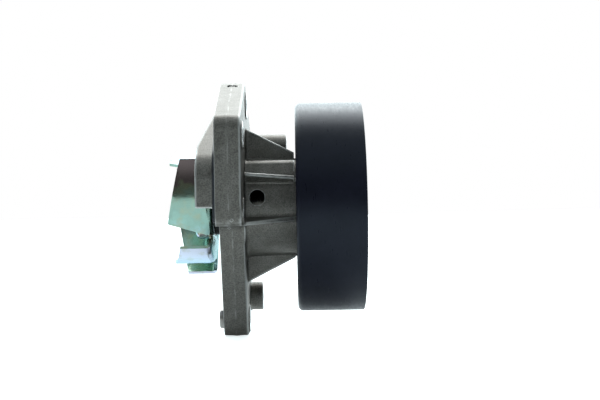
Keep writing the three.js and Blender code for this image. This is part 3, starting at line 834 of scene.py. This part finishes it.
def pulley():
    low, high = box_mm("pulley")
    corner = SHEET
    inner = 1.4
    edge = 0.35
    hat_out = HAT_R + SHEET
    web_in = low.x + SHEET
    hat_top = HAT_END + SHEET
    profile = [
        (HAT_END, HUB_HOLE_R),
        *profile_arc(HAT_END - inner, HAT_R - inner, inner, 0, 90),
        *profile_arc(low.x + corner, HAT_R + corner, corner, 270, 180, 8),
        *profile_arc(low.x + corner, RIM_R - corner, corner, 180, 90, 12),
        *profile_arc(high.x - edge, RIM_R - edge, edge, 90, 0, 3),
        *profile_arc(high.x - edge, RIM_R - SHEET + edge, edge, 0, -90, 3),
        *profile_arc(web_in + inner, RIM_R - SHEET - inner, inner, 90, 180),
        *profile_arc(web_in + inner, hat_out + inner, inner, 180, 270),
        *profile_arc(hat_top - corner, hat_out - corner, corner, 90, 0, 8),
        (hat_top, HUB_HOLE_R),
    ]
    shell = new_object(turned(profile, 192), "pulley_shell")
    cutters = []
    for i in range(WINDOWS):
        a = (i + 0.5) * 2 * math.pi / WINDOWS
        hole = (WINDOW_RING * math.cos(a), WINDOW_RING * math.sin(a))
        drill = countersunk(hole, WINDOW_R, (low.x, web_in), 0.3)
        cutters.append(new_object(drill, "window"))
    boolean(shell, cutters, "DIFFERENCE")
    return place(shell, "pulley_shell", "rotor", ["pulley"], [COAT])


def pulley_hub():
    low, high = box_mm("pulley_hub")
    bore = SHAFT_R + PRESS_GAP
    seat = HAT_END + SHEET + 0.1
    small, large, fillet = 0.4, 0.8, 1.4
    profile = [
        (low.x, bore + small),
        (low.x, HUB_SPIGOT_R - small),
        (low.x + small, HUB_SPIGOT_R),
        (seat, HUB_SPIGOT_R),
        (seat, HUB_FLANGE_R),
        (HUB_FLANGE_END - small, HUB_FLANGE_R),
        (HUB_FLANGE_END, HUB_FLANGE_R - small),
        *profile_arc(HUB_FLANGE_END + fillet, HUB_BOSS_R + fillet, fillet, 180, 270, 5),
        (high.x - large, HUB_BOSS_R),
        (high.x, HUB_BOSS_R - large),
        (high.x, bore + 0.5),
        (high.x - 0.5, bore),
        (low.x + small, bore),
    ]
    hub = new_object(turned(profile, 128), "pulley_boss")
    return place(hub, "pulley_boss", "rotor", ["pulley_hub"], [COAT])


def shaft():
    low, high = box_mm("pump_shaft")
    chamfer = 0.8
    groove_x, pitch_r, reach = 29.5, 10.4, 3.14  # the balls run in this groove
    half = math.degrees(math.acos((pitch_r - SHAFT_R) / reach))
    profile = [  # with a centre drilling in both ends
        (low.x + 3.6, 0),
        (low.x + 2.6, 1.0),
        (low.x, 2.6),
        (low.x, SHAFT_R - chamfer),
        (low.x + chamfer, SHAFT_R),
        *profile_arc(groove_x, pitch_r, reach, 270 - half, 270 + half, 10),
        (high.x - chamfer, SHAFT_R),
        (high.x, SHAFT_R - chamfer),
        (high.x, 2.6),
        (high.x - 2.6, 1.0),
        (high.x - 3.6, 0),
    ]
    rod = new_object(turned(profile, 96), "rotor_shaft")
    return place(rod, "rotor_shaft", "rotor", ["pump_shaft"], [STEEL])


# ------------------------------------------------------------------------------------------------
# Impeller
# ------------------------------------------------------------------------------------------------


def vane_bow(t):
    across = (t - ROOT_T) / (TIP_T - ROOT_T)
    return 4 * VANE_BULGE * across * (1 - across)


def from_vane(t, n, index):
    """A point of a vane's own frame, t along the vane and n outwards, as (y, z)."""
    a = VANE_TURNS[index]
    return (-n * math.cos(a) + t * math.sin(a), n * math.sin(a) + t * math.cos(a))


def tooth_edge(t, index):
    """How far out the disc's short edge lies at t: it runs from this vane's tip to the next one's root."""
    turn = (VANE_TURNS[(index + 1) % len(VANE_TURNS)] - VANE_TURNS[index]) % (2 * math.pi)
    root_t = ROOT_T * math.cos(turn) + VANE_APOTHEM * math.sin(turn)
    root_n = -ROOT_T * math.sin(turn) + VANE_APOTHEM * math.cos(turn)
    slope = (VANE_APOTHEM - root_n) / (TIP_T - root_t)
    return VANE_APOTHEM - (TIP_T - t) * slope


def vane_sheet(index):
    """One vane with its bend and a strip of the disc, as a closed sheet."""
    along, bend_steps, wall_steps = 36, 7, 10
    middle_x = DISC_FRONT - VANE_SHEET / 2
    foot_x = middle_x - BEND_R
    points = []
    for i in range(along + 1):
        u = i / along
        root = ROOT_T + (TIP_T - ROOT_T) * u
        n = VANE_APOTHEM - VANE_SHEET / 2 + vane_bow(root)
        leg = min(3.0, max(0.06, n - BEND_R - tooth_edge(root, index)))
        row = [(middle_x, root, n - BEND_R - leg)]
        for k in range(bend_steps + 1):
            a = math.pi / 2 * k / bend_steps
            row.append((foot_x + BEND_R * math.cos(a), root, n - BEND_R + BEND_R * math.sin(a)))
        end_t = EDGE_T + (TIP_T - EDGE_T) * u
        end_x = INNER_X + (TIP_X - INNER_X) * u
        for k in range(1, wall_steps + 1):
            v = k / wall_steps
            t = root + (end_t - root) * v
            across = VANE_APOTHEM - VANE_SHEET / 2 + vane_bow(t)
            row.append((foot_x + (end_x - foot_x) * v, t, across))
        points.append([Vector((x, *from_vane(t, n, index))) for x, t, n in row])
    return thickened(points, VANE_SHEET / 2)


def thickened(points, half):
    """A closed sheet on both sides of a grid of points."""
    rows, columns = len(points), len(points[0])
    bm = bmesh.new()
    sides = ([], [])
    for i in range(rows):
        lines = ([], [])
        for j in range(columns):
            along = points[min(i + 1, rows - 1)][j] - points[max(i - 1, 0)][j]
            across = points[i][min(j + 1, columns - 1)] - points[i][max(j - 1, 0)]
            normal = along.cross(across).normalized()
            for line, sign in zip(lines, (1, -1)):
                line.append(bm.verts.new(points[i][j] + sign * half * normal))
        sides[0].append(lines[0])
        sides[1].append(lines[1])
    for grid in sides:
        for i in range(rows - 1):
            for j in range(columns - 1):
                bm.faces.new((grid[i][j], grid[i + 1][j], grid[i + 1][j + 1], grid[i][j + 1]))
    border = [(0, j) for j in range(columns)]
    border += [(i, columns - 1) for i in range(1, rows)]
    border += [(rows - 1, j) for j in range(columns - 2, -1, -1)]
    border += [(i, 0) for i in range(rows - 2, 0, -1)]
    for (i, j), (k, m) in zip(border, border[1:] + border[:1]):
        bm.faces.new((sides[0][i][j], sides[0][k][m], sides[1][k][m], sides[1][i][j]))
    return bm


def impeller_disc():
    points = []
    steps = 20
    overlap = 0.2
    for index in range(len(VANE_TURNS)):
        for i in range(steps + 1):
            t = ROOT_T + (TIP_T - ROOT_T) * i / steps
            n = VANE_APOTHEM - VANE_SHEET / 2 + vane_bow(t) - BEND_R - overlap
            if n > tooth_edge(t, index):
                points.append(from_vane(t, n, index))
    return loft([(DISC_FRONT - VANE_SHEET, points), (DISC_FRONT, points)])


def impeller_hat():
    """The drawn middle of the disc, which is pressed on the bush."""
    back = DISC_FRONT - VANE_SHEET
    fillet, corner = 1.6, 2.2
    thin = VANE_SHEET
    flare_r = IMP_HAT_R + fillet
    return turned(
        [
            (DISC_FRONT, flare_r + 0.4),
            (back, flare_r + 0.4),
            *profile_arc(back - fillet, flare_r, fillet, 0, -90, 6),
            *profile_arc(IMP_HAT_END + corner, IMP_HAT_R - corner, corner, 90, 180, 8),
            (IMP_HAT_END, IMP_HOLE_R + 0.3),
            (IMP_HAT_END + 0.3, IMP_HOLE_R),
            (IMP_HAT_END + thin, IMP_HOLE_R),
            *profile_arc(IMP_HAT_END + corner, IMP_HAT_R - corner, corner - thin, 180, 90, 4),
            (DISC_FRONT - 0.6, IMP_HAT_R - thin),
            (DISC_FRONT, IMP_HAT_R - thin + 0.6),
        ],
        128,
    )


def impeller():
    body = new_object(impeller_disc(), "impeller")
    eye = new_object(bar((0, 0), IMP_HAT_R + 0.9, DISC_FRONT - 4, DISC_FRONT + 2, 128), "eye")
    boolean(body, [eye], "DIFFERENCE")
    boolean(body, [new_object(impeller_hat(), "hat")], "UNION")
    vanes = [new_object(vane_sheet(i), "vane") for i in range(len(VANE_TURNS))]
    boolean(body, vanes, "UNION")
    holes = []
    for turn in VANE_TURNS:
        a = turn + BALANCE_AFTER
        hole = (BALANCE_RING * math.cos(a), BALANCE_RING * math.sin(a))
        holes.append(new_object(bar(hole, BALANCE_R, DISC_FRONT - 4, DISC_FRONT + 2, 40), "hole"))
    boolean(body, holes, "DIFFERENCE")
    rounded(body, 0.22, 2, 45)
    return place(body, "impeller_pressing", "rotor", ["impeller"], [ZINC])


# ------------------------------------------------------------------------------------------------
# Assembly
# ------------------------------------------------------------------------------------------------

housing()
ring_dowel("ring_dowel_foot")
ring_dowel("ring_dowel_far")
pulley()
pulley_hub()
shaft()
impeller()

KEPT = {
    "turned_steel": STEEL,
    "seal_rubber": RUBBER,
    "cage_polymer": POLYMER,
    "seal_brass": BRASS,
    "seal_carbon": CARBON,
    "seal_ceramic": CERAMIC,
}
slot_of = {part["node"]: part["material_slot"] for part in frame["record"]["subparts"]}
for name, node in frame["nodes"].items():
    if node.hide_render:
        continue
    node.data.materials.clear()
    node.data.materials.append(KEPT.get(slot_of.get(name), STEEL))

# ------------------------------------------------------------------------------------------------
# Floor, light and camera
# ------------------------------------------------------------------------------------------------

FLOOR_Z = box_mm("pump_housing")[0].z - 0.05
FLOOR_GLOW = 0.12  # light that the overexposed paper gives back under the part


def floor():
    half = 4000.0
    corners = [(-half, -half), (half, -half), (half, half), (-half, half)]
    bm = bmesh.new()
    bm.faces.new([bm.verts.new((x, y, FLOOR_Z)) for x, y in corners])
    ground = new_object(bm, "floor")
    ground.data.transform(Matrix.Scale(MM, 4))
    m = Nodes("floor_paper")
    m.set(Base_Color=(0.84, 0.88, 0.89, 1), Roughness=0.6, Emission_Color=(0.93, 1.0, 1.0, 1))
    seen = m.node("ShaderNodeLightPath").outputs["Is Camera Ray"]
    m.link(m.add(FLOOR_GLOW, seen, 0.7), "Emission Strength")
    ground.data.materials.append(m.material)


def world():
    """Bright all round the back, dim overhead and dark on the camera's side, as in a light tent."""
    sky = bpy.data.worlds.new("studio")
    bpy.context.scene.world = sky
    sky.use_nodes = True
    tree = sky.node_tree
    tree.nodes.clear()

    def node(kind, inputs=None, **options):
        return add_node(tree, kind, inputs or {}, options)

    direction = node("ShaderNodeTexCoord").outputs["Generated"]
    parts = node("ShaderNodeSeparateXYZ", {"Vector": direction}).outputs
    behind = node(
        "ShaderNodeMapRange",
        {"Value": parts["Y"], "From Min": 0.35, "From Max": 0.8, "To Min": 0.0, "To Max": 3.2},
        interpolation_type="SMOOTHSTEP",
    ).outputs[0]
    overhead = node(
        "ShaderNodeMapRange",
        {"Value": parts["Z"], "From Min": 0.4, "From Max": 0.85, "To Min": 0.13, "To Max": 0.6},
        interpolation_type="SMOOTHSTEP",
    ).outputs[0]
    strength = node("ShaderNodeMath", {0: behind, 1: overhead}, operation="ADD").outputs[0]
    light = node("ShaderNodeBackground", {"Color": (0.86, 0.97, 1.0, 1), "Strength": strength})
    seen = node("ShaderNodeBackground", {"Color": (1, 1, 1, 1), "Strength": 1.0})
    camera_ray = node("ShaderNodeLightPath").outputs["Is Camera Ray"]
    mix = node("ShaderNodeMixShader", {0: camera_ray, 1: light.outputs[0], 2: seen.outputs[0]})
    node("ShaderNodeOutputWorld", {"Surface": mix.outputs[0]})


def area_light(name, location, target, size, power):
    data = bpy.data.lights.new(name, "AREA")
    data.shape = "RECTANGLE"
    data.size, data.size_y = size
    data.energy = power
    lamp = bpy.data.objects.new(name, data)
    lamp.location = location
    aim = Vector(target) - Vector(location)
    lamp.rotation_euler = aim.to_track_quat("-Z", "Y").to_euler()
    bpy.context.scene.collection.objects.link(lamp)


def camera():
    data = bpy.data.cameras.new("camera")
    data.sensor_width = 36.0
    data.lens = 63.9
    data.clip_start = 0.01
    data.clip_end = 50.0
    eye = bpy.data.objects.new("camera", data)
    roll = math.radians(1.05)
    right = Vector((math.cos(roll), 0, -math.sin(roll)))
    up = Vector((math.sin(roll), 0, math.cos(roll)))
    back = Vector((0, -1, 0))
    turn = Matrix((right, up, back)).transposed()
    eye.matrix_world = Matrix.Translation((0.0382, -0.522, 0.0034)) @ turn.to_4x4()
    bpy.context.scene.collection.objects.link(eye)
    bpy.context.scene.camera = eye


floor()
world()
area_light("top_back", (0.05, 0.35, 0.6), (0.03, 0, 0), (0.7, 0.5), 3.0)
camera()
bpy.context.scene.view_settings.view_transform = "Standard"
